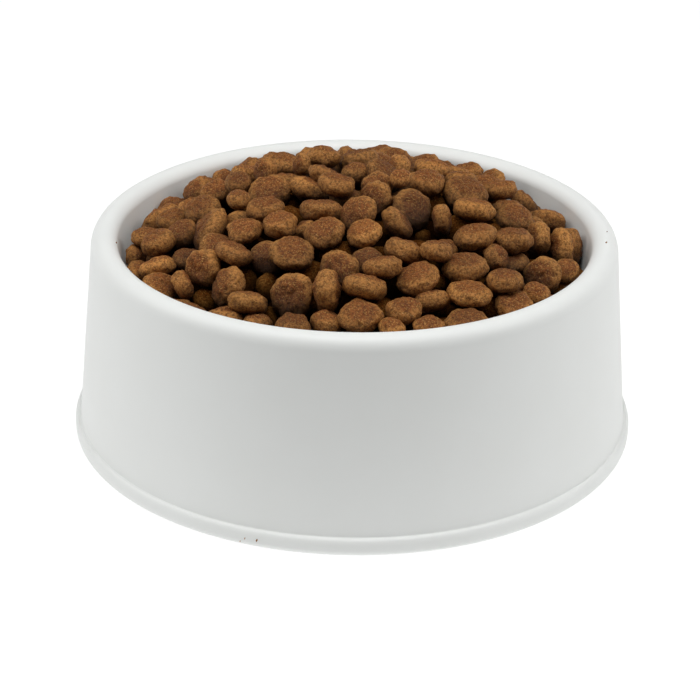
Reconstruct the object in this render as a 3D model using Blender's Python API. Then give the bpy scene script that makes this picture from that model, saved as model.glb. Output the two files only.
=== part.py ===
"""Filled pet food bowl: a one-piece moulded bowl with a rolled rim, heaped with dry kibble.

Metres, +Z up. The origin is on the ground, under the middle of the bowl.
The viewer stands at -Y. The bowl is turned about Z from one outline. The kibbles that
lie on top are pieces of their own, each laid on the heap. Those below are one joined bed.
"""
import math
import random

import bmesh
import bpy
import numpy as np
from mathutils import Matrix, Vector
from mathutils.bvhtree import BVHTree

MM = 0.001

# Bowl
MOUTH_RADIUS = 74.6 * MM
BOWL_HEIGHT = 67.5 * MM
WALL = 2.7 * MM
RIM_WIDTH = 8.5 * MM
LIP_DROP = 3.8 * MM
SHOULDER_WIDTH = 4.2 * MM
SHOULDER_DROP = 4.5 * MM
SKIRT_FLARE = 5.0 * MM
FOOT_STEP = 1.9 * MM
FOOT_HEIGHT = 5.9 * MM
FOOT_TOP_ROUND = 1.9 * MM
FOOT_BOTTOM_ROUND = 2.6 * MM
INNER_TAPER = math.radians(9)
FLOOR_CLEARANCE = 3.5 * MM
FLOOR_FILLET = 14.0 * MM

# Worked out from them: the rim's outer edge, the foot of the skirt, the foot ring's
# outer edge (a base 180 mm across) and the floor that the kibble lies on
SHOULDER_RADIUS = MOUTH_RADIUS + RIM_WIDTH
SKIRT_RADIUS = SHOULDER_RADIUS + SKIRT_FLARE
FOOT_RADIUS = SKIRT_RADIUS + FOOT_STEP
FLOOR_HEIGHT = FLOOR_CLEARANCE + WALL

# Kibble
KIBBLE_ACROSS = 14.0 * MM
KIBBLE_THICK = 6.5 * MM
HEAP_BELOW_RIM = 6.5 * MM
HEAP_CROWN = 23.0 * MM
HEAP_SET_BACK = 7.0 * MM
DIP_WIDTH = 5.0 * MM

# How uneven the kibbles are, as shares of their size: the power of their rounded
# section, and how far their width, thickness, corners and sides stray
SECTION_POWER = 2.6
WIDTH_SPREAD = (1.0, 1.06)
DEPTH_SPREAD = (0.90, 1.0)
THICKNESS_SPREAD = (0.92, 1.08)
CORNER_STRAY = 0.15
SIDE_STRAY = 0.05
SEED = 27

# How the kibbles are laid: the places tried for each, how far a place may shift, as a
# share of KIBBLE_ACROSS, how far its lean may change, and what a shift costs as height
LAY_TRIES = 40
LAY_SHIFT = 0.2
LAY_LEAN = 8.0
SHIFT_COST = 0.4

# Fits: the gaps round the bed and under a kibble, the height map's cells, the distance
# under which points are one, the slope that counts as upright, and the weight of the
# kibbles far from a point of the bed
BED_GAP = 0.3 * MM
REST_GAP = 0.45 * MM
MAP_STEP = 0.4 * MM
WELD = 0.001 * MM
STEEP = 1e-4
FAR_WEIGHT = 1e-6

# Fineness of the round shapes
SEGMENTS = 72
BED_RINGS = 16
ARC_STEPS = 5
KIBBLE_SIDES = 10
KIBBLE_LATITUDES = (-64, -32, 0, 32, 64)
BOWL_SMOOTH = math.radians(40)
KIBBLE_SMOOTH = math.radians(60)

# The kibbles on top of the heap, as chosen by eye. Each is laid at x and y, in millimetres
# on a mouth of LAYOUT_MOUTH in radius, with its size in percent of KIBBLE_ACROSS, the
# bearing that its flat face leans towards (0 to the right, 90 to the back) and its lean,
# both in degrees.
LAYOUT_MOUTH = 74.6 * MM
TOP_KIBBLES = (
    # along the back
    (-52, 33, 66, 215, 50), (-45, 20, 72, 260, 25), (-36, 52, 76, 180, 50),
    (-26, 52, 89, 50, 13), (1, 34, 98, 130, 22), (13, 55, 106, 300, 40),
    (9, 17, 92, 350, 36), (25, 32, 92, 60, 20), (37, 52, 82, 165, 20),
    (45, 45, 76, 200, 45), (55, 34, 76, 20, 55), (65, 27, 95, 75, 42),
    # left side
    (-63, 20, 102, 150, 40), (-66, 0, 70, 90, 5), (-61, -20, 80, 130, 30),
    (-45, -7, 107, 180, 60), (-48, 6, 88, 215, 30), (-47, -32, 86, 230, 60),
    (-52, -34, 72, 15, 65), (-38, -39, 90, 200, 57), (-37, -27, 84, 30, 30),
    (-34, -17, 75, 235, 20),
    # middle
    (-27, 9, 98, 260, 35), (-10, 14, 82, 40, 35), (-11, -11, 98, 85, 25),
    (-23, -18, 82, 190, 10), (-9, -23, 92, 230, 25), (2, -24, 85, 210, 22),
    (6, -2, 88, 240, 65), (18, -6, 98, 305, 55), (27, -10, 70, 0, 88),
    (13, -16, 84, 15, 60), (23, 12, 86, 300, 8), (-19, -31, 98, 285, 22),
    (-6, -38, 88, 245, 62), (14, -30, 92, 65, 40), (24, -35, 70, 70, 27),
    # right side
    (35, 12, 107, 320, 15), (37, -18, 92, 150, 12), (52, 8, 88, 300, 25),
    (49, -12, 92, 100, 12), (58, -1, 80, 200, 80), (67, 0, 86, 195, 78),
    (72, 8, 100, 5, 82), (58, -22, 86, 245, 65), (33, -37, 98, 50, 5),
    (45, -41, 74, 90, 2),
    # along the front
    (34, -48, 92, 0, 4), (19, -42, 98, 205, 23), (6, -42, 84, 110, 28),
    (48, -45, 84, 270, 16), (33, -56, 95, 270, 4), (15, -55, 74, 290, 11),
    (2, -57, 95, 270, 22), (3, -48, 98, 65, 28), (-9, -46, 100, 0, 88),
    (-18, -46, 102, 250, 66), (-31, -47, 86, 80, 36),
)

BOWL_WHITE = (0.82, 0.84, 0.82, 1.0)
BED_BROWN = (0.055, 0.022, 0.008, 1.0)
KIBBLE_BROWN = (0.20, 0.085, 0.030, 1.0)
SHADE_SPREAD = (0.8, 1.2)
BOWL_ROUGHNESS = 0.25
KIBBLE_ROUGHNESS = 0.8


def clear_scene():
    """Remove whatever the scene starts with."""
    for item in list(bpy.data.objects):
        bpy.data.objects.remove(item, do_unlink=True)


def make_material(name, colour, roughness):
    """A plain material that isn't metal, with its own colour and roughness."""
    material = bpy.data.materials.new(name)
    material.use_nodes = True
    shader = material.node_tree.nodes["Principled BSDF"]
    shader.inputs["Base Color"].default_value = colour
    shader.inputs["Roughness"].default_value = roughness
    shader.inputs["Metallic"].default_value = 0.0
    material.diffuse_color = colour
    return material


def make_object(name, bm, material, smooth_angle):
    """Turn a bmesh into a named object that shades smooth below smooth_angle."""
    mesh = bpy.data.meshes.new(name)
    bm.to_mesh(mesh)
    mesh.materials.append(material)
    mesh.shade_smooth()
    mesh.set_sharp_from_angle(angle=smooth_angle)
    item = bpy.data.objects.new(name, mesh)
    bpy.context.scene.collection.objects.link(item)
    return item


def ellipse_arc(centre, radii, start, end, steps=ARC_STEPS):
    """Points (r, z) on an ellipse about centre, from start to end degrees, both included."""
    points = []
    for step in range(steps + 1):
        angle = math.radians(start + (end - start) * step / steps)
        points.append((centre[0] + radii[0] * math.cos(angle),
                       centre[1] + radii[1] * math.sin(angle)))
    return points


def inner_wall_radius(height, inset=0.0):
    """Radius of the straight inner wall at a height, moved inwards by inset."""
    drop = BOWL_HEIGHT - LIP_DROP - height
    return MOUTH_RADIUS - drop * math.tan(INNER_TAPER) - inset / math.cos(INNER_TAPER)


def inner_fillet(inset):
    """Round from the inner floor up to the inner wall, moved into the bowl by inset.

    The round is tangent to the floor and to the tapered wall, so its centre is one
    fillet radius from both.
    """
    centre_z = FLOOR_HEIGHT + FLOOR_FILLET
    centre_r = inner_wall_radius(centre_z) - FLOOR_FILLET / math.cos(INNER_TAPER)
    radius = FLOOR_FILLET - inset
    return ellipse_arc((centre_r, centre_z), (radius, radius), -90, -math.degrees(INNER_TAPER))


def bowl_outline():
    """The bowl's section, as (r, z) points from the middle of its floor round to its underside."""
    crest = SHOULDER_RADIUS - SHOULDER_WIDTH
    lip_width = crest - MOUTH_RADIUS
    shoulder_height = BOWL_HEIGHT - SHOULDER_DROP
    top_round = min(FOOT_TOP_ROUND, FOOT_STEP)

    inside = [(0.0, FLOOR_HEIGHT)] + inner_fillet(0.0)
    lip = ellipse_arc((crest, BOWL_HEIGHT - LIP_DROP), (lip_width, LIP_DROP), 180, 90)
    shoulder = ellipse_arc((crest, shoulder_height), (SHOULDER_WIDTH, SHOULDER_DROP), 90, 0)
    foot_top = ellipse_arc((FOOT_RADIUS - top_round, FOOT_HEIGHT - top_round),
                           (top_round, top_round), 90, 0, 3)
    foot_bottom = ellipse_arc((FOOT_RADIUS - FOOT_BOTTOM_ROUND, FOOT_BOTTOM_ROUND),
                              (FOOT_BOTTOM_ROUND, FOOT_BOTTOM_ROUND), 0, -90, 4)
    outside = shoulder[1:] + [(SKIRT_RADIUS, FOOT_HEIGHT)] + foot_top + foot_bottom

    skirt_inside = [(SKIRT_RADIUS - WALL, 0.0), (SKIRT_RADIUS - WALL, FOOT_HEIGHT - WALL)]
    skirt_back = SHOULDER_RADIUS - WALL
    inner_back = inner_wall_radius(shoulder_height, -WALL)
    roof = ellipse_arc(((skirt_back + inner_back) / 2, shoulder_height),
                       ((skirt_back - inner_back) / 2, SHOULDER_DROP - WALL), 0, 180, 4)
    under_fillet = list(reversed(inner_fillet(-WALL)))
    middle = [(0.0, FLOOR_CLEARANCE)]
    return inside + lip + outside + skirt_inside + roof + under_fillet + middle


def build_bowl():
    """Turn the outline about the Z axis into one closed shell."""
    bm = bmesh.new()
    verts = [bm.verts.new((r, 0.0, z)) for r, z in bowl_outline()]
    edges = [bm.edges.new(pair) for pair in zip(verts, verts[1:])]
    bmesh.ops.spin(bm, geom=verts + edges, cent=(0, 0, 0), axis=(0, 0, 1),
                   angle=2 * math.pi, steps=SEGMENTS, use_duplicate=False)
    bmesh.ops.remove_doubles(bm, verts=bm.verts, dist=WELD)
    bmesh.ops.recalc_face_normals(bm, faces=bm.faces)
    return bm


def heap_height(x, y):
    """Height of the heap's top: it falls from its peak with the distance from there squared."""
    edge = BOWL_HEIGHT - HEAP_BELOW_RIM
    from_peak = x * x + (y - HEAP_SET_BACK) ** 2
    return edge + HEAP_CROWN * (1 - from_peak / MOUTH_RADIUS ** 2)


class Kibble:
    """One kibble: a rounded disc with slightly uneven sides, as the hull of a few points."""

    def __init__(self, x, y, percent, bearing, lean, rng):
        spread = MOUTH_RADIUS / LAYOUT_MOUTH
        self.x = x * MM * spread
        self.y = y * MM * spread
        self.bearing = bearing
        self.lean = lean
        self.turn = rng.uniform(0, 360)
        share = percent / 100
        half_width = KIBBLE_ACROSS * share / 2
        radii = (half_width * rng.uniform(*WIDTH_SPREAD), half_width * rng.uniform(*DEPTH_SPREAD),
                 KIBBLE_THICK / 2 * math.sqrt(share) * rng.uniform(*THICKNESS_SPREAD))
        self.build_hull(radii, rng)

    def build_hull(self, radii, rng):
        """Hull of rings on a rounded disc whose section is a superellipse."""
        power = 2 / SECTION_POWER
        points = [Vector((0, 0, radii[2])), Vector((0, 0, -radii[2]))]
        for latitude in KIBBLE_LATITUDES:
            rise = math.sin(math.radians(latitude))
            ring = math.cos(math.radians(latitude)) ** power
            height = math.copysign(abs(rise) ** power, rise)
            for side in range(KIBBLE_SIDES):
                stray = rng.uniform(-CORNER_STRAY, CORNER_STRAY)
                angle = 2 * math.pi * (side + stray) / KIBBLE_SIDES
                swell = rng.uniform(1 - SIDE_STRAY, 1 + SIDE_STRAY)
                points.append(Vector((radii[0] * ring * math.cos(angle) * swell,
                                      radii[1] * ring * math.sin(angle) * swell,
                                      radii[2] * height)))
        self.bm = bmesh.new()
        for point in points:
            self.bm.verts.new(point)
        hull = bmesh.ops.convex_hull(self.bm, input=self.bm.verts)
        inner = set(hull["geom_interior"]) | set(hull["geom_unused"])
        spare = [item for item in inner if isinstance(item, bmesh.types.BMVert)]
        bmesh.ops.delete(self.bm, geom=spare, context="VERTS")
        bmesh.ops.recalc_face_normals(self.bm, faces=self.bm.faces)
        self.corners = np.array([vert.co[:] for vert in self.bm.verts])
        self.normals = np.array([face.normal[:] for face in self.bm.faces])
        middles = np.array([face.calc_center_median()[:] for face in self.bm.faces])
        self.offsets = np.sum(self.normals * middles, axis=1)

    def rotation(self, lean_change=0.0):
        """Turn about its own axis, then lean its face towards the bearing."""
        lean = math.radians(self.lean + lean_change)
        across = math.radians(self.bearing + 90)
        axis = Vector((math.cos(across), math.sin(across), 0))
        return Matrix.Rotation(lean, 3, axis) @ Matrix.Rotation(math.radians(self.turn), 3, "Z")

    def wanted_underside(self):
        """Height of its lowest point when its highest one lies on the heap's top."""
        heights = self.corners @ np.array(self.rotation())[2]
        return heap_height(self.x, self.y) - (heights.max() - heights.min())


class HeightMap:
    """Heights of what is already in the bowl, on a square grid seen from above."""

    def __init__(self, solids):
        half = MOUTH_RADIUS + 2 * MAP_STEP
        self.count = int(2 * half / MAP_STEP) + 1
        self.low = -MAP_STEP * (self.count - 1) / 2
        self.heights = np.full((self.count, self.count), BOWL_HEIGHT)
        trees = [BVHTree.FromBMesh(bm) for bm in solids]
        start = BOWL_HEIGHT + HEAP_CROWN
        down = Vector((0, 0, -1))
        for column in range(self.count):
            for row in range(self.count):
                origin = Vector((self.low + column * MAP_STEP, self.low + row * MAP_STEP, start))
                if origin.xy.length < MOUTH_RADIUS:
                    hits = [tree.ray_cast(origin, down)[0] for tree in trees]
                    self.heights[column, row] = max(hit.z for hit in hits if hit)

    def patch(self, kibble, rotation, x, y, grow):
        """Grid cells under a kibble at (x, y), with its lower and upper faces there.

        Each face of the hull is a plane, moved out by grow. The underside over a cell is
        the highest of the downward planes there, the top is the lowest of the upward ones.
        """
        turned = np.array(rotation)
        corners = kibble.corners @ turned.T
        normals = kibble.normals @ turned.T
        offsets = kibble.offsets + grow
        first = np.floor((corners.min(axis=0)[:2] - grow + (x, y) - self.low) / MAP_STEP).astype(int)
        last = np.ceil((corners.max(axis=0)[:2] + grow + (x, y) - self.low) / MAP_STEP).astype(int)
        first = np.clip(first, 0, self.count - 1)
        last = np.clip(last, 0, self.count - 1)
        columns, rows = np.meshgrid(np.arange(first[0], last[0] + 1),
                                    np.arange(first[1], last[1] + 1), indexing="ij")
        columns, rows = columns.ravel(), rows.ravel()
        place = np.stack([self.low + columns * MAP_STEP - x, self.low + rows * MAP_STEP - y])
        level = offsets[:, None] - normals[:, :2] @ place
        steep = np.abs(normals[:, 2]) < STEEP
        up = (normals[:, 2] > 0) & ~steep
        down = (normals[:, 2] < 0) & ~steep
        top = np.min(level[up] / normals[up, 2:], axis=0)
        underside = np.max(level[down] / normals[down, 2:], axis=0)
        inside = (top > underside) & np.all(level[steep] >= 0, axis=0)
        return columns[inside], rows[inside], underside[inside], top[inside]

    def rest_height(self, kibble, rotation, x, y):
        """Height of the kibble's middle when it has come down on what lies there."""
        columns, rows, underside, _ = self.patch(kibble, rotation, x, y, REST_GAP)
        return float(np.max(self.heights[columns, rows] - underside))

    def add(self, kibble, rotation, x, y, z):
        """Raise the map to the top of a kibble laid with its middle at (x, y, z)."""
        columns, rows, _, top = self.patch(kibble, rotation, x, y, 0.0)
        self.heights[columns, rows] = np.maximum(self.heights[columns, rows], top + z)


def keep_off_wall(kibble, rotation, x, y):
    """Move a place towards the middle until the kibble there clears the inner wall."""
    radius = math.hypot(x, y)
    outward = np.array((x, y, 0)) / max(radius, MM)
    reach = np.max((kibble.corners @ np.array(rotation).T) @ outward)
    level = min(heap_height(x, y) - KIBBLE_THICK, BOWL_HEIGHT - LIP_DROP)
    limit = inner_wall_radius(level, REST_GAP) - reach
    share = min(1.0, limit / max(radius, MM))
    return x * share, y * share


def lay_kibbles(kibbles, height_map, rng):
    """Let each kibble down on the heap, the deepest first.

    Each tries a few small shifts and leans round its place, and takes the one where it
    comes to rest lowest, with a part of its shift counted as height.
    """
    largest_shift = LAY_SHIFT * KIBBLE_ACROSS
    for kibble in sorted(kibbles, key=Kibble.wanted_underside):
        best = None
        for attempt in range(LAY_TRIES):
            shift = largest_shift * math.sqrt(rng.random()) if attempt else 0.0
            heading = rng.uniform(0, 2 * math.pi)
            rotation = kibble.rotation(rng.uniform(-LAY_LEAN, LAY_LEAN) if attempt else 0.0)
            x, y = keep_off_wall(kibble, rotation, kibble.x + shift * math.cos(heading),
                                 kibble.y + shift * math.sin(heading))
            z = height_map.rest_height(kibble, rotation, x, y)
            cost = z + SHIFT_COST * shift
            if best is None or cost < best[0]:
                best = (cost, rotation, x, y, z)
        _, rotation, x, y, z = best
        height_map.add(kibble, rotation, x, y, z)
        kibble.matrix = Matrix.Translation((x, y, z)) @ rotation.to_4x4()


def bed_height(x, y, places, undersides):
    """Top of the bed: the mean of the undersides wanted near by, weighed by a bell curve."""
    distance = (places[:, 0] - x) ** 2 + (places[:, 1] - y) ** 2
    near = np.exp(-distance / (2 * DIP_WIDTH ** 2))
    weights = near + FAR_WEIGHT / (1 + distance / DIP_WIDTH ** 2)
    return float(np.sum(weights * undersides) / np.sum(weights)) - REST_GAP


def build_bed(kibbles):
    """The joined kibbles below: a dished top, and a side that follows the bowl a gap away."""
    places = np.array([(kibble.x, kibble.y) for kibble in kibbles])
    undersides = np.array([kibble.wanted_underside() for kibble in kibbles])
    edge_height = BOWL_HEIGHT - HEAP_BELOW_RIM - KIBBLE_THICK
    bm = bmesh.new()
    rings = []
    for ring in range(BED_RINGS, 0, -1):
        loop = []
        for segment in range(SEGMENTS):
            angle = 2 * math.pi * segment / SEGMENTS
            radius = inner_wall_radius(edge_height, BED_GAP) * ring / BED_RINGS
            x, y = radius * math.cos(angle), radius * math.sin(angle)
            z = bed_height(x, y, places, undersides)
            if ring == BED_RINGS:
                z = min(z, edge_height)
                radius = inner_wall_radius(z, BED_GAP)
            loop.append(bm.verts.new((radius * math.cos(angle), radius * math.sin(angle), z)))
        rings.append(loop)
    top = bm.verts.new((0, 0, bed_height(0, 0, places, undersides)))
    lower = []
    for radius, z in reversed(inner_fillet(BED_GAP)):
        lower.append([bm.verts.new((radius * math.cos(2 * math.pi * segment / SEGMENTS),
                                    radius * math.sin(2 * math.pi * segment / SEGMENTS), z))
                      for segment in range(SEGMENTS)])
    for first, second in zip(rings, rings[1:]):
        join_loops(bm, first, second)
    for here, there in zip(rings[-1], rings[-1][1:] + rings[-1][:1]):
        bm.faces.new((here, there, top))
    join_loops(bm, rings[0], lower[0])
    for first, second in zip(lower, lower[1:]):
        join_loops(bm, first, second)
    bm.faces.new(lower[-1])
    bmesh.ops.triangulate(bm, faces=bm.faces)
    bmesh.ops.recalc_face_normals(bm, faces=bm.faces)
    return bm


def join_loops(bm, first, second):
    """Bridge two closed loops of as many vertices with one face for each side."""
    for index in range(len(first)):
        following = (index + 1) % len(first)
        bm.faces.new((first[index], first[following], second[following], second[index]))


def main():
    clear_scene()
    rng = random.Random(SEED)
    kibbles = [Kibble(*row, rng) for row in TOP_KIBBLES]
    bowl = build_bowl()
    bed = build_bed(kibbles)
    lay_kibbles(kibbles, HeightMap((bowl, bed)), rng)

    make_object("bowl", bowl, make_material("bowl_white", BOWL_WHITE, BOWL_ROUGHNESS), BOWL_SMOOTH)
    bed_brown = make_material("bed_brown", BED_BROWN, KIBBLE_ROUGHNESS)
    make_object("kibble_bed", bed, bed_brown, KIBBLE_SMOOTH)
    for number, kibble in enumerate(kibbles, 1):
        name = f"kibble_{number:02d}"
        shade = rng.uniform(*SHADE_SPREAD)
        colour = tuple(channel * shade for channel in KIBBLE_BROWN[:3]) + (1.0,)
        kibble_brown = make_material(name, colour, KIBBLE_ROUGHNESS)
        item = make_object(name, kibble.bm, kibble_brown, KIBBLE_SMOOTH)
        item.location = kibble.matrix.to_translation()
        item.rotation_euler = kibble.matrix.to_euler()


main()
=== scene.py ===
"""Looks of a pet food bowl: white melamine, heaped with dry kibble, in a pale studio.

Metres, +Z up, in the frame's own place: the bowl stands on the ground round the Z axis,
and the viewer is at -Y. Every new piece is a surface worked out as arrays. The bowl is one
outline turned about Z. A kibble is a sphere's grid of directions, each pushed out as far
as the kibble reaches that way. Where the frame has a kibble, the new one fills the same
outline. The others are pushed up from below until they touch what lies on them.
"""
import math

import bpy
import numpy as np
from mathutils import Matrix, Vector


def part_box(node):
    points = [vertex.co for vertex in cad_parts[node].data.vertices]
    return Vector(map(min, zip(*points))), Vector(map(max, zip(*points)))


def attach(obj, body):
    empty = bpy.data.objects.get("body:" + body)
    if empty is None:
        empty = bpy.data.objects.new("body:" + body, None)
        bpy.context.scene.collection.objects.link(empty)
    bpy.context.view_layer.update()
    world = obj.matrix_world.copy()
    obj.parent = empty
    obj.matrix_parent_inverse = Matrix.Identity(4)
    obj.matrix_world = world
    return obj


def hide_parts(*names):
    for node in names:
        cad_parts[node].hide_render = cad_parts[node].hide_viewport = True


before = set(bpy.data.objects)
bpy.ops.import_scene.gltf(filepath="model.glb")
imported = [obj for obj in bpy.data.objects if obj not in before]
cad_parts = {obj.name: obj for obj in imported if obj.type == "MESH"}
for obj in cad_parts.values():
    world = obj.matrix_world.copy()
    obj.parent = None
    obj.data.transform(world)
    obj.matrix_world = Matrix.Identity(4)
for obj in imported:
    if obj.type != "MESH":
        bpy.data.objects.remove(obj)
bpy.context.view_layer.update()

MM = 0.001

# Bowl, as in the frame: its height and its foot come from there, the rest are its own sizes
BOWL_LOW, BOWL_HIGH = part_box("bowl")
BOWL_HEIGHT = BOWL_HIGH[2]
FOOT_RADIUS = (BOWL_HIGH[0] - BOWL_LOW[0]) / 2
FOOT_STEP = 1.9 * MM
FOOT_HEIGHT = 5.9 * MM
FOOT_TOP_ROUND = 1.9 * MM
FOOT_BOTTOM_ROUND = 2.6 * MM
SKIRT_FLARE = 5.0 * MM
RIM_WIDTH = 8.5 * MM
LIP_DROP = 3.8 * MM
SHOULDER_WIDTH = 4.2 * MM
SHOULDER_DROP = 4.5 * MM
WALL = 2.7 * MM
INNER_TAPER = math.radians(9)
FLOOR_CLEARANCE = 3.5 * MM
FLOOR_FILLET = 14.0 * MM
CREASE_ROUND = 0.5 * MM
SKIRT_RADIUS = FOOT_RADIUS - FOOT_STEP
SHOULDER_RADIUS = SKIRT_RADIUS - SKIRT_FLARE
MOUTH_RADIUS = SHOULDER_RADIUS - RIM_WIDTH
FLOOR_HEIGHT = FLOOR_CLEARANCE + WALL
# Columns of points round the bowl
TURNS = 256

# Heap, as in the frame, and the sizes of a kibble
HEAP_BELOW_RIM = 6.5 * MM
HEAP_CROWN = 23.0 * MM
HEAP_SET_BACK = 7.0 * MM
KIBBLE_ACROSS = 14.0 * MM
KIBBLE_THICK = 6.5 * MM
KIBBLE_GAP = 0.25 * MM

# Skin of a kibble that is KIBBLE_ACROSS wide, in mm: the deepest dish and the highest dome
# of a face, the highest ridge round it, and the length and height of each size of lump
FACE_DISH, FACE_DOME, FACE_RIDGE = 0.2, 0.4, 0.22
LUMPS = ((7.0, 0.20), (3.2, 0.18), (1.6, 0.10))
# What a kibble's reach is multiplied by, for the edges that the smoothing rounds off
REGROWTH = 1.06

# Loose kibbles: how many planes touch one, and the power of its section's superellipse
PLANES = 64
SECTION_POWER = 2.6
# A little more than a full turn, in radians
ANY_TURN = 6.3

# Square map of heights over the bowl, which kibbles are pushed up under
MAP_STEP = 0.6 * MM
MAP_LOW = -MOUTH_RADIUS - KIBBLE_ACROSS
MAP_COUNT = int(-2 * MAP_LOW / MAP_STEP) + 1

# Filling the heap: how far a chosen kibble may stand above the heap's top, and the depth at
# which one no longer shows
PROUD = 2 * MM
SHOWN_DEPTH = 6.5 * MM
# The seeded ones: their triangular grid's spacing, the rows' distance as a share of it, and
# how far a place strays; their sizes in percent and the spread of their lean in degrees
SEEDED_SPACING = 9.0 * MM
SEEDED_ROWS = 0.87
SEEDED_JITTER = 1.2 * MM
SEEDED_SIZES = (72, 104)
SEEDED_LEAN = 28
# The most that each round of them may lie below the heap's top, and how far a round is
# shifted from the one before
ROUND_DEPTHS = (4 * MM, 9 * MM, 14 * MM)
ROUND_SHIFT = 3 * MM

# Kibbles that show between the frame's own: x and y in mm, size in percent of
# KIBBLE_ACROSS, the bearing that the flat face leans towards (0 to the right, 90 to the
# back) and its lean, both in degrees
BETWEEN = (
    # left
    (-71, -1, 68, 345, 65), (-63, -8, 78, 180, 25), (-53, -15, 70, 270, 5),
    (-54, -3, 76, 220, 30), (-59, -33, 86, 330, 25), (-38, 0, 56, 90, 0),
    (-27, -27, 80, 250, 50), (-26, -33, 78, 340, 50), (-16, -18, 60, 145, 40),
    (2, -33, 70, 270, 35), (-38, -50, 86, 70, 27), (-30, -53, 60, 90, 15),
    (-18, -61, 84, 90, 5), (-8, -55, 72, 90, 5), (-25, -45, 66, 220, 50),
    # right
    (37, -5, 90, 60, 20), (42, -22, 66, 350, 45), (50, -16, 80, 200, 15),
    (67, -19, 62, 270, 30), (55, -38, 60, 270, 15), (60, 38, 60, 220, 40),
    (49, 25, 66, 145, 12), (44, 5, 74, 145, 20), (30, -20, 52, 270, 15),
    (22, -58, 66, 270, 10), (11, -61, 56, 270, 5), (48, 19, 74, 90, 15),
    (21, -8, 60, 350, 65),
    # back
    (-36, 14, 60, 270, 10), (-42, 23, 66, 90, 10), (-29, 27, 64, 220, 70),
    (-21, 55, 72, 45, 35), (-18, 22, 52, 210, 70), (-16, 10, 90, 40, 35),
    (-12, 30, 74, 70, 13), (-20, 62, 74, 45, 20), (10, 68, 84, 90, 12),
    (-6, -1, 86, 50, 15), (-1, 3, 76, 180, 5), (15, 6, 50, 270, 15),
)

# Crumbs on the bowl: bearing in degrees, distance from the Z axis, height and size in mm
CRUMBS = (
    (188.1, 75.1, 65.5, 0.45), (158.8, 73.2, 55.0, 0.45), (-0.4, 79.5, 67.4, 0.3),
    (-7.0, 79.0, 67.5, 0.4), (-107.8, 90.0, 3.2, 0.4), (-110.2, 90.0, 3.1, 0.3),
    (-111.2, 89.8, 1.8, 0.3),
)


def srgb(code):
    """Linear red, green and blue with a full alpha, from an sRGB hex colour."""
    levels = np.array([int(code[place:place + 2], 16) for place in (1, 3, 5)]) / 255
    linear = np.where(levels <= 0.04045, levels / 12.92, ((levels + 0.055) / 1.055) ** 2.4)
    return (*linear.tolist(), 1.0)


def add_node(tree, kind, settings, out=0):
    """Add a shader node and return one of its outputs.

    A setting is a property, the value of an input, or a socket to link to an input.
    """
    node = tree.nodes.new("ShaderNode" + kind)
    for name, value in settings.items():
        if isinstance(value, bpy.types.NodeSocket):
            tree.links.new(value, node.inputs[name])
        elif isinstance(name, str) and hasattr(node, name):
            setattr(node, name, value)
        else:
            node.inputs[name].default_value = value
    return node.outputs[out] if node.outputs else None


def new_material(name):
    """A material with an empty node tree, and that tree."""
    material = bpy.data.materials.new(name)
    material.use_nodes = True
    material.node_tree.nodes.clear()
    return material, material.node_tree


def melamine():
    """White melamine resin, compression moulded and polished in the mould.

    It gives an even cool white with a satin gloss: soft broad reflections, broken a little by
    the mould's faint ripple, and hardly any colour variation.
    """
    material, tree = new_material("melamine_compression_moulded")
    place = add_node(tree, "TexCoord", {}, "Object")
    # The resin's slow change of white, and the streaks where the polish varies
    cloud = add_node(tree, "TexNoise", {"Vector": place, "Scale": 1 / (22 * MM), "Detail": 2.0})
    white = add_node(tree, "Mix", {"data_type": "RGBA", 0: cloud, 6: srgb("#E9EBE8"),
                                   7: srgb("#EDEFED")}, 2)
    streak = add_node(tree, "TexNoise", {"Vector": place, "Scale": 1 / (6 * MM)})
    shine = add_node(tree, "MapRange", {"Value": streak, "From Min": 0.3, "From Max": 0.7,
                                        "To Min": 0.46, "To Max": 0.54})
    ripple = add_node(tree, "TexNoise", {"Vector": place, "Scale": 1 / (1.6 * MM)})
    bump = add_node(tree, "Bump", {"Height": ripple, "Strength": 0.08, "Distance": 0.1 * MM})
    shader = add_node(tree, "BsdfPrincipled", {"Base Color": white, "Roughness": shine,
                                               "IOR": 1.55, "Normal": bump})
    add_node(tree, "OutputMaterial", {"Surface": shader})
    return material


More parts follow.
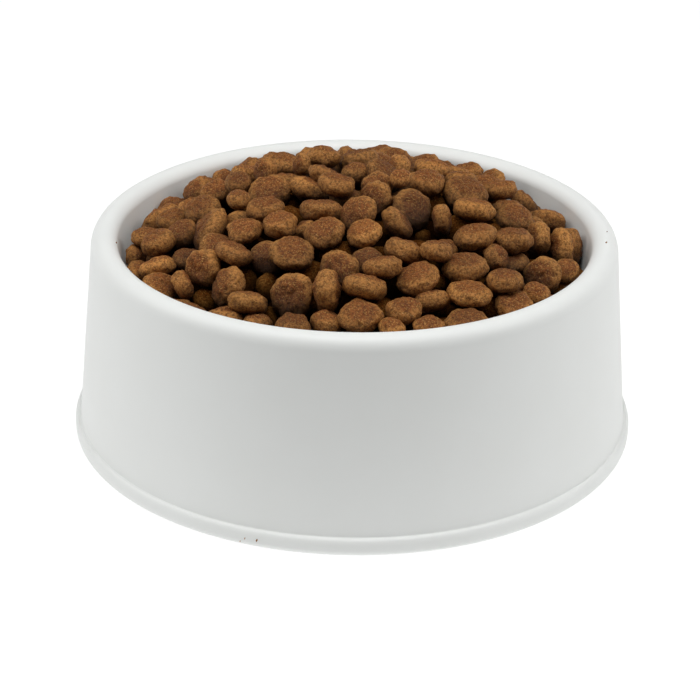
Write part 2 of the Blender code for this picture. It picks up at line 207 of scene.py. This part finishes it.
def baked_kibble(name, fat):
    """Kibble: meal and grain, extruded, cut and baked dry, then dusted with fat.

    It gives a matt, granular brown: golden brown on the rounded sides that toast in the
    oven, duller and redder on the cut faces, with coarse dark and pale grains and a few
    pale bran flakes. fat is how much the dusting shines, from 0; the copy with none is a
    shaded copy, for the kibbles that lie in shade, so that the gaps stay dark.
    """
    material, tree = new_material(name)
    place = add_node(tree, "TexCoord", {}, "Object")
    face = add_node(tree, "Attribute", {"attribute_name": "face"}, "Fac")
    tone = add_node(tree, "Attribute", {"attribute_name": "tone"}, "Fac")
    warmth = add_node(tree, "Attribute", {"attribute_name": "warmth"}, "Fac")
    depth = add_node(tree, "Attribute", {"attribute_name": "depth"}, "Fac")
    # Uneven toasting, coarse meal and fine meal
    patches = add_node(tree, "TexNoise", {"Vector": place, "Scale": 1 / (4.5 * MM),
                                          "Detail": 3.0})
    grain = add_node(tree, "TexNoise", {"Vector": place, "Scale": 1 / (0.9 * MM),
                                        "Detail": 4.0, "Roughness": 0.7})
    grit = add_node(tree, "TexNoise", {"Vector": place, "Scale": 1 / (0.42 * MM),
                                       "Detail": 2.0, "Roughness": 0.6})

    # Toasted sides and cut faces, with a ragged border between them
    cut = add_node(tree, "Math", {"operation": "MULTIPLY_ADD", 0: patches, 1: 0.7, 2: face})
    cut_share = add_node(tree, "MapRange", {"interpolation_type": "SMOOTHSTEP", "Value": cut,
                                            "From Min": 0.4, "From Max": 1.35})
    base = add_node(tree, "Mix", {"data_type": "RGBA", 0: cut_share, 6: srgb("#BC8040"),
                                  7: srgb("#884E1F")}, 2)
    # Over that come redder baking, dark grains, pale grains, bran flakes and the shade
    # between kibbles
    red = add_node(tree, "Math", {"operation": "MULTIPLY", 0: warmth, 1: 0.25})
    dark = add_node(tree, "MapRange", {"interpolation_type": "SMOOTHSTEP", "Value": grain,
                                       "From Min": 0.6, "From Max": 0.38, "To Max": 0.75})
    pale = add_node(tree, "MapRange", {"interpolation_type": "SMOOTHSTEP", "Value": grit,
                                       "From Min": 0.52, "From Max": 0.7, "To Max": 0.75})
    bran = add_node(tree, "TexVoronoi", {"Vector": place, "Scale": 1 / (1.7 * MM)}, "Distance")
    flake = add_node(tree, "MapRange", {"interpolation_type": "SMOOTHSTEP", "Value": bran,
                                        "From Min": 0.14, "From Max": 0.05, "To Max": 0.5})
    for share, code in ((red, "#83441C"), (dark, "#4B2A0E"), (pale, "#C89650"),
                        (flake, "#D8B070"), (depth, "#1C0C03")):
        base = add_node(tree, "Mix", {"data_type": "RGBA", 0: share, 6: base,
                                      7: srgb(code)}, 2)
    colour = add_node(tree, "HueSaturation", {"Value": tone, "Color": base})

    rough = add_node(tree, "Math", {"operation": "MULTIPLY_ADD", 0: grit, 1: 0.7, 2: grain})
    bump = add_node(tree, "Bump", {"Height": rough, "Strength": 1.0, "Distance": 0.55 * MM})
    shader = add_node(tree, "BsdfPrincipled", {
        "Base Color": colour, "Roughness": 0.68, "IOR": 1.45, "Specular IOR Level": fat,
        "Normal": bump})
    add_node(tree, "OutputMaterial", {"Surface": shader})
    return material


def paper_sweep():
    """Matt paper on a light table, which shines less in front of the bowl.

    It gives a plain white floor with hardly a shadow, and a front wall that is a little
    darker towards the rim.
    """
    material, tree = new_material("backdrop_paper_matt")
    place = add_node(tree, "TexCoord", {}, "Object")
    backwards = add_node(tree, "SeparateXYZ", {0: place}, "Y")
    glow = add_node(tree, "MapRange", {"interpolation_type": "SMOOTHSTEP", "Value": backwards,
                                       "From Min": -0.34, "From Max": -0.165,
                                       "To Min": 0.14, "To Max": 0.82})
    shader = add_node(tree, "BsdfPrincipled", {
        "Base Color": srgb("#959595"), "Roughness": 0.9, "Specular IOR Level": 0.0,
        "Emission Color": srgb("#FFFFFF"), "Emission Strength": glow})
    add_node(tree, "OutputMaterial", {"Surface": shader})
    return material


def shell_faces(rings, columns):
    """Quads between the rings of a closed grid, and triangles round its two poles.

    Vertex 0 is the upper pole, then come the rings from top to bottom, each anticlockwise
    as seen from above, and the last vertex is the lower pole.
    """
    ring, column = np.meshgrid(np.arange(rings - 1), np.arange(columns), indexing="ij")
    here = 1 + ring * columns + column
    beside = 1 + ring * columns + (column + 1) % columns
    quads = np.stack([here, here + columns, beside + columns, beside], axis=-1).reshape(-1, 4)
    around = np.arange(columns)
    after = (around + 1) % columns
    low = 1 + (rings - 1) * columns
    upper = np.stack([np.zeros(columns, int), 1 + around, 1 + after], axis=-1)
    lower = np.stack([np.full(columns, low + columns), low + after, low + around], axis=-1)
    return quads, np.concatenate([upper, lower])


def make_piece(name, shells, rings, columns, material, stands_for, values=()):
    """One object from closed shells that share a grid, shaded smooth, riding on the root.

    shells is an array of shell, vertex and coordinate. values holds a point attribute's
    name and its array of shell and vertex.
    """
    quads, triangles = shell_faces(rings, columns)
    vertices = shells.reshape(-1, 3)
    first = (np.arange(len(shells)) * shells.shape[1])[:, None, None]
    corners = np.concatenate([(quads + first).ravel(), (triangles + first).ravel()])
    sides = np.concatenate([np.full(len(quads) * len(shells), 4),
                            np.full(len(triangles) * len(shells), 3)])
    mesh = bpy.data.meshes.new(name)
    mesh.vertices.add(len(vertices))
    mesh.vertices.foreach_set("co", vertices.ravel())
    mesh.loops.add(len(corners))
    mesh.loops.foreach_set("vertex_index", corners)
    mesh.polygons.add(len(sides))
    mesh.polygons.foreach_set("loop_start", np.cumsum(sides) - sides)
    mesh.update(calc_edges=True)
    mesh.shade_smooth()
    for attribute, numbers in dict(values).items():
        layer = mesh.attributes.new(attribute, "FLOAT", "POINT")
        layer.data.foreach_set("value", numbers.ravel())
    mesh.materials.append(material)
    piece = bpy.data.objects.new(name, mesh)
    bpy.context.scene.collection.objects.link(piece)
    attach(piece, "root")
    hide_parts(*stands_for)


def arc(centre, radii, start, end, steps):
    """Points (r, z) on an ellipse about centre, from start to end degrees."""
    angle = np.radians(np.linspace(start, end, steps + 1))
    return np.stack([centre[0] + radii[0] * np.cos(angle),
                     centre[1] + radii[1] * np.sin(angle)], axis=-1)


def line(start, end, steps):
    """Points (r, z) between two points, without either of them."""
    share = (np.arange(1, steps) / steps)[:, None]
    return np.array(start) * (1 - share) + np.array(end) * share


def inner_wall_radius(height, inset=0.0):
    """Radius of the tapered inner wall at a height, moved inwards by inset."""
    drop = BOWL_HEIGHT - LIP_DROP - height
    return MOUTH_RADIUS - drop * math.tan(INNER_TAPER) - inset / math.cos(INNER_TAPER)


def inner_fillet(inset):
    """Round from the floor to the tapered wall, tangent to both, moved inwards by inset."""
    centre_z = FLOOR_HEIGHT + FLOOR_FILLET
    centre_r = inner_wall_radius(centre_z) - FLOOR_FILLET / math.cos(INNER_TAPER)
    radius = FLOOR_FILLET - inset
    return arc((centre_r, centre_z), (radius, radius), -90, -math.degrees(INNER_TAPER), 16)


def bowl_outline():
    """The bowl's section as (r, z), from the middle of its floor round to its underside.

    Quarter ellipses make the lip, the shoulder and the foot's edges, and straight runs
    join them. Inside the hollow it follows the same lines a wall's thickness away.
    """
    crest = SHOULDER_RADIUS - SHOULDER_WIDTH
    shoulder_height = BOWL_HEIGHT - SHOULDER_DROP
    inside = inner_fillet(0.0)
    lip = arc((crest, BOWL_HEIGHT - LIP_DROP), (crest - MOUTH_RADIUS, LIP_DROP), 180, 90, 20)
    shoulder = arc((crest, shoulder_height), (SHOULDER_WIDTH, SHOULDER_DROP), 90, 0, 24)[1:]
    crease = arc((SKIRT_RADIUS + CREASE_ROUND, FOOT_HEIGHT + CREASE_ROUND),
                 (CREASE_ROUND, CREASE_ROUND), 180, 270, 5)
    foot_top = arc((SKIRT_RADIUS + CREASE_ROUND, FOOT_HEIGHT - FOOT_TOP_ROUND),
                   (FOOT_STEP - CREASE_ROUND, FOOT_TOP_ROUND), 90, 0, 10)[1:]
    foot_bottom = arc((FOOT_RADIUS - FOOT_BOTTOM_ROUND, FOOT_BOTTOM_ROUND),
                      (FOOT_BOTTOM_ROUND, FOOT_BOTTOM_ROUND), 0, -90, 8)
    back = SKIRT_RADIUS - WALL
    skirt_inside = np.array([(back, 0.0), (back, FOOT_HEIGHT - WALL)])
    skirt_back = SHOULDER_RADIUS - WALL
    inner_back = inner_wall_radius(shoulder_height, -WALL)
    roof = arc(((skirt_back + inner_back) / 2, shoulder_height),
               ((skirt_back - inner_back) / 2, SHOULDER_DROP - WALL), 0, 180, 12)
    under_fillet = inner_fillet(-WALL)[::-1]
    return np.concatenate([
        line((0, FLOOR_HEIGHT), inside[0], 6), inside, line(inside[-1], lip[0], 8), lip,
        shoulder, line(shoulder[-1], crease[0], 24), crease, foot_top,
        foot_bottom, skirt_inside, line(skirt_inside[-1], roof[0], 12), roof,
        line(roof[-1], under_fillet[0], 8), under_fillet,
        line(under_fillet[-1], (0, FLOOR_CLEARANCE), 6)])


def turned(outline, columns):
    """A closed shell: (r, z) points carried round Z on equal steps of angle, between poles."""
    angle = 2 * np.pi * np.arange(columns) / columns
    rings = np.stack([outline[:, :1] * np.cos(angle), outline[:, :1] * np.sin(angle),
                      outline[:, 1:] * np.ones(columns)], axis=-1)
    poles = np.array([(0, 0, FLOOR_HEIGHT), (0, 0, FLOOR_CLEARANCE)])
    return np.concatenate([poles[:1], rings.reshape(-1, 3), poles[1:]])[None]


def spiral(count, twist=0.0):
    """Unit directions spread evenly over a sphere, turned about Z by twist.

    They lie on a spiral: each goes down by the same height and round by the golden angle.
    """
    step = np.arange(count) + 0.5
    height = 1 - 2 * step / count
    turn = step * np.pi * (3 - math.sqrt(5)) + twist
    ring = np.sqrt(1 - height ** 2)
    return np.stack([ring * np.cos(turn), ring * np.sin(turn), height], axis=-1)


class Directions:
    """A sphere's grid of unit directions, and the weights that smooth a reach over it.

    Rings lie at equal steps of latitude. The weights fall off with the angle between two
    directions as a bell curve, so that a faceted outline comes out rounded.
    """

    SAMPLES = 640
    SHARPNESS = 34.0

    def __init__(self, rings, columns):
        self.rings, self.columns = rings, columns
        latitude = np.pi * (0.5 - np.arange(1, rings + 1) / (rings + 1))[:, None]
        longitude = 2 * np.pi * np.arange(columns) / columns
        grid = np.stack([np.cos(latitude) * np.cos(longitude),
                         np.cos(latitude) * np.sin(longitude),
                         np.sin(latitude) * np.ones(columns)], axis=-1)
        poles = np.array([(0.0, 0.0, 1.0), (0.0, 0.0, -1.0)])
        self.units = np.concatenate([poles[:1], grid.reshape(-1, 3), poles[1:]])
        self.samples = spiral(self.SAMPLES)
        weights = np.exp(self.SHARPNESS * (self.units @ self.samples.T - 1))
        self.smooth = weights / weights.sum(axis=1, keepdims=True)


FINE = Directions(34, 56)
MEDIUM = Directions(20, 34)
COARSE = Directions(6, 10)
CRUMB = Directions(5, 8)


def waves(points, length, rng):
    """Sum of plane waves about one length long, in random directions, with unit spread."""
    count = 14
    headings = rng.normal(size=(count, 3))
    headings /= np.linalg.norm(headings, axis=1, keepdims=True)
    pace = 2 * np.pi / (length * rng.uniform(0.7, 1.4, (count, 1)))
    phases = rng.uniform(0, 2 * np.pi, count)
    return math.sqrt(2 / count) * np.sin(points @ (headings * pace).T + phases).sum(axis=1)


class Kibble:
    """A kibble's middle, its own axes (the last one is its short one) and its outline.

    The outline is the space inside a set of planes, each with an outward normal and a
    distance from the middle.
    """

    def __init__(self, middle, axes, normals, offsets):
        self.middle = np.array(middle, float)
        self.axes, self.normals, self.offsets = axes, normals, offsets

    def surface(self, grid, rng):
        """Vertices on a grid of directions, with how far each lies on a flat face.

        The reach along a direction is the nearest plane's distance over the cosine to it,
        smoothed and then grown a little. Each face is dished or domed by a bell curve about
        its middle, with a ridge, another bell curve, round it at three quarters of the way
        out. Waves of three lengths make the whole skin lumpy. A face counts as flat up to
        half way out, and then less and less, down to nothing near its edge.
        """
        facing = grid.samples @ (self.normals @ self.axes.T).T
        reach = np.min(np.where(facing > 0.05, self.offsets / np.maximum(facing, 0.05), 1.0),
                       axis=1)
        radius = grid.smooth @ reach
        points = grid.units * radius[:, None]
        outward = np.hypot(points[:, 0], points[:, 1])
        out_share = outward / outward.max()
        dish = np.where(points[:, 2] > 0, rng.uniform(-FACE_DOME, FACE_DISH),
                        rng.uniform(-FACE_DOME, FACE_DISH))
        ridge = rng.uniform(0.0, FACE_RIDGE)
        upright = np.abs(grid.units[:, 2])
        change = -dish * np.exp(-(out_share / 0.5) ** 2) * upright
        change += ridge * np.exp(-((out_share - 0.74) / 0.13) ** 2) * upright
        for length, height in LUMPS:
            change += height * waves(points, length * MM, rng)
        change *= self.offsets.max() / (KIBBLE_ACROSS / 2) * MM
        points = grid.units * (REGROWTH * radius + change)[:, None]
        face = 1 - np.clip((out_share - 0.55) / 0.35, 0, 1)
        return self.middle + points @ self.axes, face * face * (3 - 2 * face)

    def patch(self, x, y):
        """Map cells under the kibble with its middle over (x, y), and its two sides there.

        Over a cell, the top is the lowest of the planes that face up and the underside is
        the highest of those that face down, both from the middle.
        """
        # No kibble reaches further from its middle than this many cells
        furthest = int(0.6 * KIBBLE_ACROSS / MAP_STEP)
        centre = np.round((np.array((x, y)) - MAP_LOW) / MAP_STEP).astype(int)
        reach = np.arange(-furthest, furthest + 1)
        columns, rows = np.meshgrid(centre[0] + reach, centre[1] + reach, indexing="ij")
        columns, rows = columns.ravel(), rows.ravel()
        place = np.stack([MAP_LOW + columns * MAP_STEP - x, MAP_LOW + rows * MAP_STEP - y])
        level = self.offsets[:, None] - self.normals[:, :2] @ place
        up, down = self.normals[:, 2] > 0.001, self.normals[:, 2] < -0.001
        top = np.min(level[up] / self.normals[up, 2:], axis=0)
        underside = np.max(level[down] / self.normals[down, 2:], axis=0)
        inside = top > underside
        return columns[inside], rows[inside], underside[inside], top[inside]


def frame_kibble(name):
    """The kibble that a frame's node holds, its planes being those of the node's triangles.

    Its short axis is the direction in which its surface spreads least.
    """
    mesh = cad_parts[name].data
    count = len(mesh.polygons)
    normals, centres, areas = np.empty(count * 3), np.empty(count * 3), np.empty(count)
    mesh.polygons.foreach_get("normal", normals)
    mesh.polygons.foreach_get("center", centres)
    mesh.polygons.foreach_get("area", areas)
    normals, centres = normals.reshape(-1, 3), centres.reshape(-1, 3)
    middle = np.average(centres, axis=0, weights=areas)
    spread = np.cov((centres - middle).T, aweights=areas)
    axes = np.linalg.eigh(spread)[1].T[::-1]
    axes[0] = np.cross(axes[1], axes[2])
    return Kibble(middle, axes, normals, np.sum(normals * (centres - middle), axis=1))


def loose_kibble(percent, bearing, lean, rng):
    """A kibble of its own shape, with its middle at the origin.

    It is a rounded disc whose section is a superellipse. Its planes touch that shape in
    directions spread all round, each moved in or out a little. A plane's distance is the
    sum of the half sizes along its normal, added up with the superellipse's dual power.
    """
    share = percent / 100
    half = KIBBLE_ACROSS * share / 2
    radii = np.array((half * rng.uniform(0.98, 1.06), half * rng.uniform(0.88, 1.0),
                      KIBBLE_THICK / 2 * math.sqrt(share) * rng.uniform(0.9, 1.08)))
    local = spiral(PLANES, rng.uniform(0, ANY_TURN))
    power = SECTION_POWER / (SECTION_POWER - 1)
    wide = np.hypot(local[:, 0] * radii[0], local[:, 1] * radii[1])
    offsets = (wide ** power + np.abs(local[:, 2] * radii[2]) ** power) ** (1 / power)
    offsets *= rng.uniform(0.94, 1.03, len(offsets))
    across = math.radians(bearing + 90)
    axis = Vector((math.cos(across), math.sin(across), 0))
    axes = np.array((Matrix.Rotation(math.radians(lean), 3, axis)
                     @ Matrix.Rotation(rng.uniform(0, ANY_TURN), 3, "Z")).transposed())
    return Kibble((0, 0, 0), axes, local @ axes, offsets)


def heap_height(x, y):
    """Height of the heap's top: it falls from its peak with the distance from there squared."""
    from_peak = x * x + (y - HEAP_SET_BACK) ** 2
    return BOWL_HEIGHT - HEAP_BELOW_RIM + HEAP_CROWN * (1 - from_peak / MOUTH_RADIUS ** 2)


def push_up(ceiling, kibble, x, y, rng, tries, largest_shift):
    """Push a kibble up under the ceiling map, near (x, y), and return how deep it lies.

    Of a few places near by, each pulled in to clear the bowl's wall, it takes the one where
    the kibble comes nearest to the heap's top. The second result is the map cells under
    it and the height of its underside there.
    """
    best = None
    for attempt in range(tries):
        shift = largest_shift * math.sqrt(rng.random()) if attempt else 0.0
        heading = rng.uniform(0, 2 * math.pi)
        to_x, to_y = x + shift * math.cos(heading), y + shift * math.sin(heading)
        radius = math.hypot(to_x, to_y)
        outward = np.array((to_x, to_y, 0.0)) / max(radius, MM)
        # The furthest of the kibble's planes that face the wall
        reach = np.max(kibble.offsets * (kibble.normals @ outward > 0.7))
        level = min(heap_height(to_x, to_y) - KIBBLE_THICK, BOWL_HEIGHT - LIP_DROP)
        pull = min(1.0, (inner_wall_radius(level, KIBBLE_GAP) - reach) / max(radius, MM))
        to_x, to_y = to_x * pull, to_y * pull
        columns, rows, underside, top = kibble.patch(to_x, to_y)
        z = np.min(ceiling[columns, rows] - top) - KIBBLE_GAP
        depth = heap_height(to_x, to_y) - z - top.max()
        if best is None or depth < best[0]:
            best = (depth, to_x, to_y, z, columns, rows, underside)
    depth, to_x, to_y, z, columns, rows, underside = best
    kibble.middle = np.array((to_x, to_y, z))
    return depth, (columns, rows, underside + z)


def seeded_places(rng):
    """Places on a jittered triangular grid, in rounds: x, y, size, bearing, lean and depth.

    They are as in BETWEEN, but in metres. The depth is the most that the kibble may lie
    below the heap's top.
    """
    places = []
    reach = int(MOUTH_RADIUS / SEEDED_SPACING) + 2
    for layer, deepest in enumerate(ROUND_DEPTHS):
        for row in range(-reach, reach + 1):
            for column in range(-reach, reach + 1):
                x = SEEDED_SPACING * (column + 0.5 * (row % 2)) + rng.normal(0, SEEDED_JITTER)
                y = (SEEDED_SPACING * SEEDED_ROWS * row + rng.normal(0, SEEDED_JITTER)
                     + layer * ROUND_SHIFT)
                if math.hypot(x, y) < MOUTH_RADIUS:
                    lean = abs(rng.normal(0, SEEDED_LEAN))
                    places.append((x, y, rng.uniform(*SEEDED_SIZES), rng.uniform(0, 360), lean,
                                   deepest))
    return places


def lay_kibbles(places, ceiling, rng, tries, largest_shift):
    """Push a kibble up at each place, and return those that come far enough, with depths.

    The ceiling map comes down to the underside of each.
    """
    laid = []
    for x, y, percent, bearing, lean, deepest in places:
        kibble = loose_kibble(percent, bearing, lean, rng)
        depth, (columns, rows, underside) = push_up(ceiling, kibble, x, y, rng, tries,
                                                    largest_shift)
        if depth <= deepest:
            ceiling[columns, rows] = np.minimum(ceiling[columns, rows], underside)
            laid.append((depth, kibble))
    return laid


def fill_heap(kept):
    """Kibbles pushed up between and below the kept ones: those that show, and deeper ones.

    The chosen ones come first, and may stand a little above the heap's top. The seeded
    ones fill what is left, under the heap's top.
    """
    rng = np.random.default_rng(8)
    steps = MAP_LOW + MAP_STEP * np.arange(MAP_COUNT)
    top = heap_height(*np.meshgrid(steps, steps, indexing="ij"))
    ceiling = top + PROUD
    for kibble in kept:
        columns, rows, underside, _ = kibble.patch(*kibble.middle[:2])
        lower = np.minimum(ceiling[columns, rows], underside + kibble.middle[2])
        ceiling[columns, rows] = lower
    chosen = [(x * MM, y * MM, percent, bearing, lean, ROUND_DEPTHS[-1])
              for x, y, percent, bearing, lean in BETWEEN]
    seeded = seeded_places(rng)
    laid = lay_kibbles(chosen, ceiling, rng, tries=24, largest_shift=2.0 * MM)
    ceiling = np.minimum(ceiling, top)
    laid += lay_kibbles(seeded, ceiling, rng, tries=10, largest_shift=4.5 * MM)
    shown = [kibble for depth, kibble in laid if depth < SHOWN_DEPTH]
    deep = [kibble for depth, kibble in laid if depth >= SHOWN_DEPTH]
    return shown, deep


def shade_depth(shells):
    """How much shade each point has from the kibbles round it, from 0 to 1.

    It is the larger of two ramps: one with the depth below the heap's top, to which a
    kibble's own underside adds a few millimetres, and one down the lower half of the
    kibble. Outside the mouth there is none.
    """
    underside_adds, starts_at, full_after, darkest = 5 * MM, 2.6 * MM, 9 * MM, 0.9
    half_starts_at, half_full_after, half_darkest = 0.45, 0.5, 0.8
    x, y, height = shells[:, :, 0], shells[:, :, 1], shells[:, :, 2]
    low, high = height.min(axis=1, keepdims=True), height.max(axis=1, keepdims=True)
    drop = (high - height) / (high - low)
    below = heap_height(x, y) - height + underside_adds * drop
    by_depth = darkest * np.clip((below - starts_at) / full_after, 0, 1)
    by_half = half_darkest * np.clip((drop - half_starts_at) / half_full_after, 0, 1)
    return np.maximum(by_depth, by_half) * (np.hypot(x, y) < MOUTH_RADIUS)


def kibble_piece(name, kibbles, grid, material, stands_for, seed, dim=1.0):
    """One piece from kibbles on the same grid, with each one's faces, tone and warmth.

    dim is what their tone is multiplied by: painted shade, for kibbles that lie deep.
    """
    rng = np.random.default_rng(seed)
    shells, faces, tones, warmths = [], [], [], []
    for kibble in kibbles:
        points, face = kibble.surface(grid, rng)
        shells.append(points)
        faces.append(face)
        tones.append(np.full(len(points), dim * rng.normal(1.0, 0.1)))
        warmths.append(np.full(len(points), rng.random()))
    shells = np.array(shells)
    values = {"face": np.array(faces), "tone": np.array(tones), "warmth": np.array(warmths),
              "depth": shade_depth(shells)}
    make_piece(name, shells, grid.rings, grid.columns, material, stands_for, values)


def build_core(material):
    """The kibbles further down, as one closed body that the heap's gaps look down on.

    Its top follows the heap at a set depth, with waves. Its underside is flat, with the
    same rings in the opposite order. Its colour is painted shade: nearly black.
    """
    rng = np.random.default_rng(5)
    rings, columns, depth, floor, side_height = 24, 72, 13 * MM, 30 * MM, 40 * MM
    wave_length, wave_height = 14 * MM, 1.2 * MM
    share = np.arange(1, rings + 1) / rings
    radius = (share * inner_wall_radius(side_height, KIBBLE_GAP))[:, None]
    angle = 2 * np.pi * np.arange(columns) / columns
    x, y = radius * np.cos(angle), radius * np.sin(angle)
    flat = np.stack([x, y, np.zeros_like(x)], axis=-1).reshape(-1, 3)
    top = flat.copy()
    top[:, 2] = (heap_height(flat[:, 0], flat[:, 1]) - depth
                 + wave_height * waves(flat, wave_length, rng))
    bottom = flat.reshape(rings, columns, 3)[::-1].reshape(-1, 3).copy()
    bottom[:, 2] = floor
    poles = np.array([(0, 0, heap_height(0, 0) - depth), (0, 0, floor)])
    shell = np.concatenate([poles[:1], top, bottom, poles[1:]])
    # Painted shade: a tone of 0.3 and a shade share of 0.9 make the core show nearly black in
    # the gaps
    values = {"face": np.ones(len(shell)), "tone": np.full(len(shell), 0.3),
              "warmth": np.zeros(len(shell)), "depth": np.full(len(shell), 0.9)}
    make_piece("kibble_core", shell[None], 2 * rings, columns, material,
               ["kibble_bed"], values)


def build_crumbs(material):
    """Crumbs of kibble that lie on the bowl, each with its middle on the bowl's surface."""
    rng = np.random.default_rng(3)
    crumbs = []
    for bearing, distance, height, size in CRUMBS:
        crumb = loose_kibble(100 * size * MM / KIBBLE_ACROSS, 0, 20, rng)
        angle = math.radians(bearing)
        crumb.middle = MM * np.array((distance * math.cos(angle), distance * math.sin(angle),
                                      height))
        crumbs.append(crumb)
    kibble_piece("crumbs_on_bowl", crumbs, CRUMB, material, ["bowl"], seed=6)


def build_object():
    """Bowl, the frame's kibbles, the ones between and below them, and the crumbs."""
    outline = bowl_outline()
    make_piece("bowl_moulded", turned(outline, TURNS), len(outline), TURNS, melamine(),
               ["bowl"])
    brown = baked_kibble("kibble_extruded_and_baked", fat=0.35)
    # Shaded copy of the kibble material: no shine, so that the kibbles below and the core, which
    # lie in shade, stay dark
    dull = baked_kibble("kibble_shaded_copy_without_shine", fat=0.0)
    names = sorted(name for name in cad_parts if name.startswith("kibble_")
                   and name != "kibble_bed")
    kept = [frame_kibble(name) for name in names]
    for number, (name, kibble) in enumerate(zip(names, kept), 1):
        kibble_piece("baked_" + name, [kibble], FINE, brown, [name], seed=200 + number)
    shown, deep = fill_heap(kept)
    kibble_piece("kibbles_between", shown, MEDIUM, brown, ["kibble_bed"], seed=11)
    # Painted shade: the kibbles below have their tone dimmed to nine tenths
    kibble_piece("kibbles_below", deep, COARSE, dull, ["kibble_bed"], seed=12, dim=0.9)
    build_core(dull)
    build_crumbs(brown)


def add_floor():
    """A wide flat floor just under the foot."""
    half, level = 4.0, -0.1 * MM
    corners = [(-half, -half, level), (half, -half, level), (half, half, level),
               (-half, half, level)]
    mesh = bpy.data.meshes.new("floor")
    mesh.from_pydata(corners, [], [(0, 1, 2, 3)])
    mesh.materials.append(paper_sweep())
    floor = bpy.data.objects.new("floor", mesh)
    bpy.context.scene.collection.objects.link(floor)


def add_softbox(name, place, size, power):
    """A square area light that faces the middle of the bowl."""
    light = bpy.data.lights.new(name, "AREA")
    light.shape = "SQUARE"
    light.size = size
    light.energy = power
    lamp = bpy.data.objects.new(name, light)
    target = Vector((0, 0, BOWL_HEIGHT))
    lamp.location = place
    lamp.rotation_euler = (target - Vector(place)).to_track_quat("-Z", "Y").to_euler()
    bpy.context.scene.collection.objects.link(lamp)


def add_studio():
    """Soft light from above and from both sides, and a pale surround.

    The surround shines from the horizon and below it, and hardly from above.
    """
    world = bpy.data.worlds.new("studio")
    world.use_nodes = True
    tree = world.node_tree
    tree.nodes.clear()
    height = add_node(tree, "SeparateXYZ", {0: add_node(tree, "TexCoord", {}, "Generated")}, "Z")
    glow = add_node(tree, "MapRange", {"interpolation_type": "SMOOTHSTEP", "Value": height,
                                       "From Min": 0.1, "From Max": 0.22,
                                       "To Min": 0.5, "To Max": 0.05})
    surround = add_node(tree, "Background", {"Strength": glow})
    add_node(tree, "OutputWorld", {"Surface": surround})
    bpy.context.scene.world = world
    add_softbox("softbox_top", (0.0, -0.15, 0.9), 0.5, 4.5)
    add_softbox("softbox_left", (-0.7, -0.05, 0.7), 0.6, 3.3)
    add_softbox("softbox_right", (0.7, -0.05, 0.7), 0.6, 3.2)
    add_softbox("softbox_left_back", (-0.75, 0.6, 0.35), 0.7, 0.35)
    add_softbox("softbox_right_back", (0.75, 0.6, 0.35), 0.7, 0.5)
    bpy.context.scene.view_settings.view_transform = "Standard"


def add_camera():
    """A long lens, a little above the rim, as in the photograph.

    Its place, its downward pitch, heading and roll, and its lens come from matching the
    bowl's rim and foot in the photograph.
    """
    place = (0.0, -666.58 * MM, 343.77 * MM)
    pitch, heading, roll = math.radians(25.584), math.radians(0.0855), math.radians(0.777)
    data = bpy.data.cameras.new("camera")
    data.lens = 117.42
    data.sensor_width = 36.0
    data.clip_start = 0.01
    camera = bpy.data.objects.new("camera", data)
    camera.matrix_world = (Matrix.Translation(place) @ Matrix.Rotation(heading, 4, "Z")
                           @ Matrix.Rotation(math.pi / 2 - pitch, 4, "X")
                           @ Matrix.Rotation(roll, 4, "Z"))
    bpy.context.scene.collection.objects.link(camera)
    bpy.context.scene.camera = camera


add_camera()
build_object()
add_floor()
add_studio()
